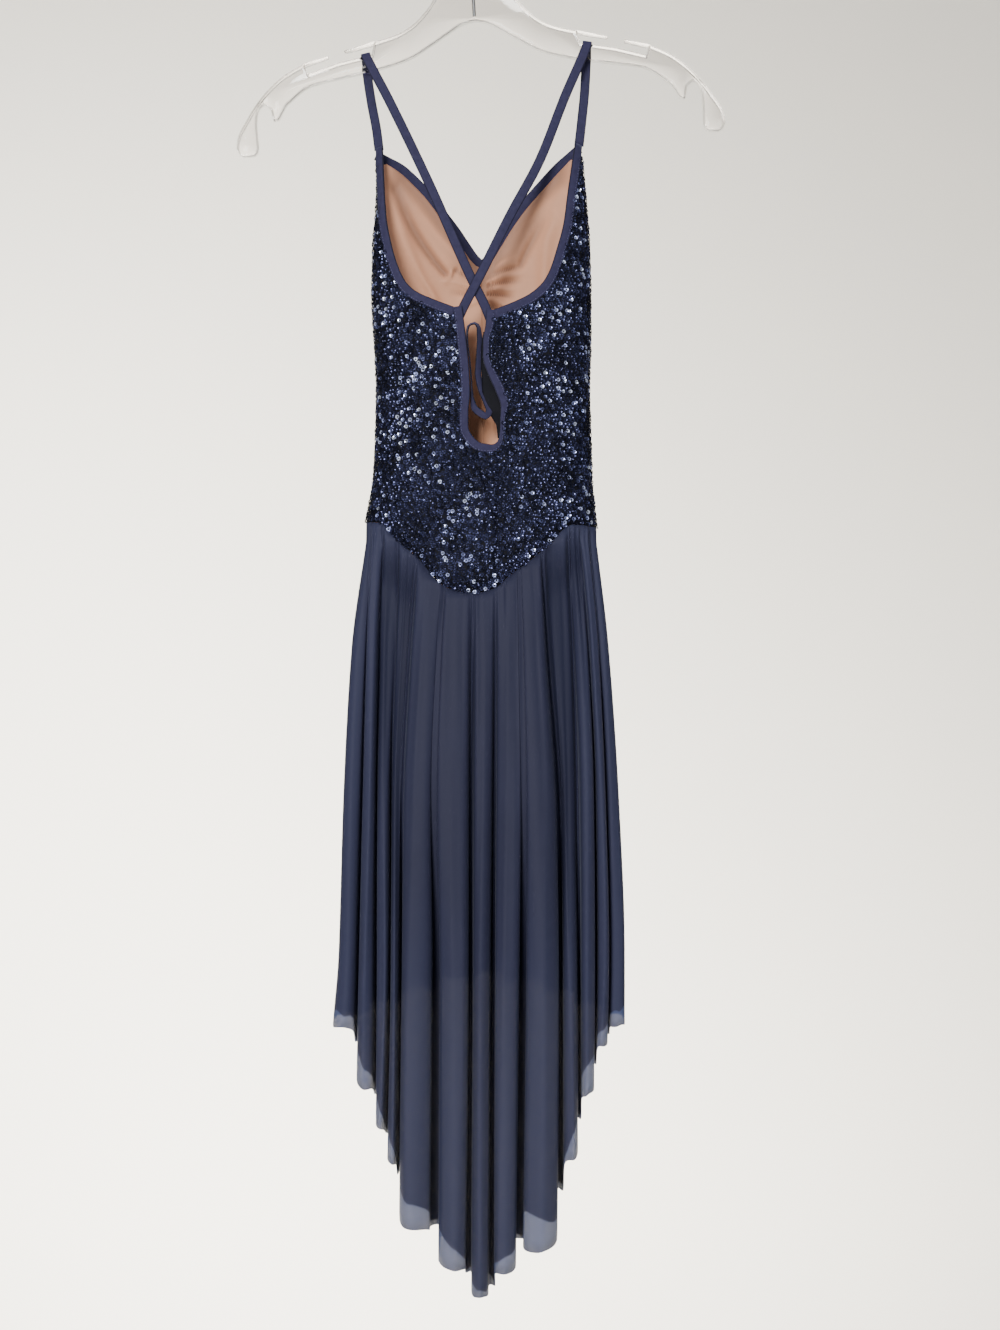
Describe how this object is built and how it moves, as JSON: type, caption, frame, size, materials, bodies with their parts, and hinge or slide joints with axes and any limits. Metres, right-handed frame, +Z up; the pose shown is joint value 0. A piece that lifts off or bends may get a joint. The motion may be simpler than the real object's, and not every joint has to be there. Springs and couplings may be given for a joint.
{
  "type": "high-low dress on a clear hanger",
  "caption": "Low-backed sequinned dance dress with a keyhole, crossed straps and a long-backed mesh skirt in soft flutes, hung on a clear notched hanger.",
  "frame": {"origin": "the inside top of the hook, where it bears on a rail", "axes": "+Z up along the hanging dress, -Y out of its open back towards the camera, +Y out of its front, +X to the right in the picture"},
  "size_m": [0.4273, 0.155, 1.2159],
  "materials": {
    "clear_plastic": "clear moulded plastic",
    "hook_steel": "plated steel wire",
    "knit_tape": "navy stretch knit tape",
    "sequin_cloth": "navy stretch cloth closely sewn with small cup sequins",
    "nude_lining": "nude stretch lining with a soft sheen",
    "navy_mesh": "sheer navy stretch mesh"
  },
  "bodies": {
    "root": {"hanger": "clear_plastic", "hanger_hook": "hook_steel", "strap_left": "knit_tape", "strap_right": "knit_tape", "keyhole_loop": "knit_tape", "binding_armhole_left": "knit_tape", "binding_armhole_right": "knit_tape", "binding_keyhole": "knit_tape", "binding_neck": "knit_tape", "bodice_back_left": "sequin_cloth", "bodice_back_right": "sequin_cloth", "bodice_front_left": "sequin_cloth", "bodice_front_right": "sequin_cloth", "lining_front_left": "nude_lining", "lining_front_right": "nude_lining", "skirt_back": "navy_mesh", "skirt_front": "navy_mesh"}
  },
  "joints": []
}
